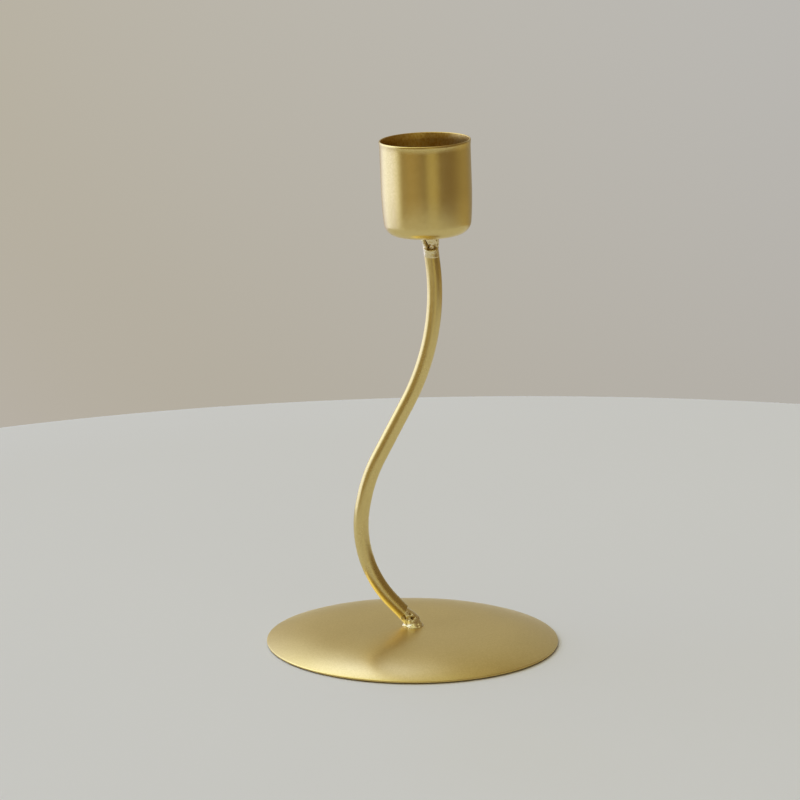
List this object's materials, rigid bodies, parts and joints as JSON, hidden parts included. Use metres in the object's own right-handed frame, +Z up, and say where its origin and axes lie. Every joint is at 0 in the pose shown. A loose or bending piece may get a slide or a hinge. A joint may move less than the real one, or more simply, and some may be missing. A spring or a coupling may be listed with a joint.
{
  "type": "candle holder",
  "caption": "Taper candle holder: a drawn metal cup on a slender S-bent round rod, welded to a thin domed disc base.",
  "frame": {"origin": "middle of the base dish, on the surface that it stands on", "axes": "+Z up, +X to the right in the picture, where the cup stands off to the right of the dish's middle, +Y away from the viewer"},
  "size_m": [0.089, 0.089, 0.1558],
  "materials": {
    "satin_gold": "satin pale gold metallic paint over sheet and rod steel",
    "gold_over_weld": "the same paint over lumpy, pitted weld metal, glossier and uneven"
  },
  "bodies": {
    "root": {"base_dish": "satin_gold", "stem_rod": "satin_gold", "candle_cup": "satin_gold", "base_weld": "gold_over_weld", "cup_weld": "gold_over_weld"}
  },
  "joints": []
}
